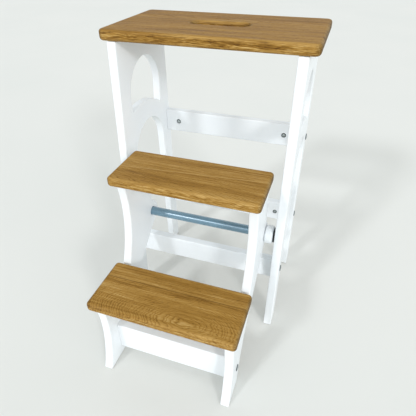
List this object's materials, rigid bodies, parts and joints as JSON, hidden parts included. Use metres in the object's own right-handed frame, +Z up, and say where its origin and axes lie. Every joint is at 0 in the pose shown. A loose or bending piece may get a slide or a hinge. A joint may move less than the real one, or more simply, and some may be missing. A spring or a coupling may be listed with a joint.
{
  "type": "step ladder",
  "caption": "Wooden step stool: an arched frame under an oak seat, with a block of lower steps that swings over a cross rod to stow inside the frame.",
  "frame": {"origin": "on the floor, in the middle of the footprint with the steps down", "axes": "+Z up, +X to the right when the steps face the viewer, the steps face -Y"},
  "size_m": [0.4, 0.4894, 0.64],
  "materials": {
    "oak": "oiled oak, satin, with visible grain and glue joints",
    "white_paint": "white satin paint on wood",
    "rod_paint": "grey-blue satin paint on steel tube",
    "steel": "zinc-plated, satin",
    "black_rubber": "matte black",
    "beech": "raw beech"
  },
  "bodies": {
    "stool": {"lower_back_rail": "white_paint", "lower_back_rail_bolt_left": "steel", "lower_back_rail_bolt_right": "steel", "lower_back_rail_nut_left": "steel", "lower_back_rail_nut_right": "steel", "lower_front_rail": "white_paint", "lower_front_rail_bolt_left": "steel", "lower_front_rail_bolt_right": "steel", "lower_front_rail_nut_left": "steel", "lower_front_rail_nut_right": "steel", "pivot_rod": "rod_paint", "pivot_washer_left": "black_rubber", "pivot_washer_right": "black_rubber", "seat": "oak", "seat_dowel_left_back": "beech", "seat_dowel_left_front": "beech", "seat_dowel_right_back": "beech", "seat_dowel_right_front": "beech", "stool_side_left": "white_paint", "stool_side_right": "white_paint", "upper_back_rail": "white_paint", "upper_back_rail_bolt_left": "steel", "upper_back_rail_bolt_right": "steel", "upper_back_rail_nut_left": "steel", "upper_back_rail_nut_right": "steel"},
    "step_block": {"lower_tread": "oak", "lower_tread_dowel_left_back": "beech", "lower_tread_dowel_left_front": "beech", "lower_tread_dowel_right_back": "beech", "lower_tread_dowel_right_front": "beech", "middle_tread": "oak", "middle_tread_dowel_left_back": "beech", "middle_tread_dowel_left_front": "beech", "middle_tread_dowel_right_back": "beech", "middle_tread_dowel_right_front": "beech", "pivot_spacer_left": "white_paint", "pivot_spacer_right": "white_paint", "step_rail": "white_paint", "step_rail_bolt_left": "steel", "step_rail_bolt_right": "steel", "step_rail_nut_left": "steel", "step_rail_nut_right": "steel", "step_side_left": "white_paint", "step_side_right": "white_paint"}
  },
  "joints": [
    {"name": "step_block_fold", "type": "hinge", "parent": "stool", "child": "step_block", "pos_m": [0, 0.01875, 0.252], "axis": [-1, 0, 0], "range_deg": [0, 150]}
  ]
}
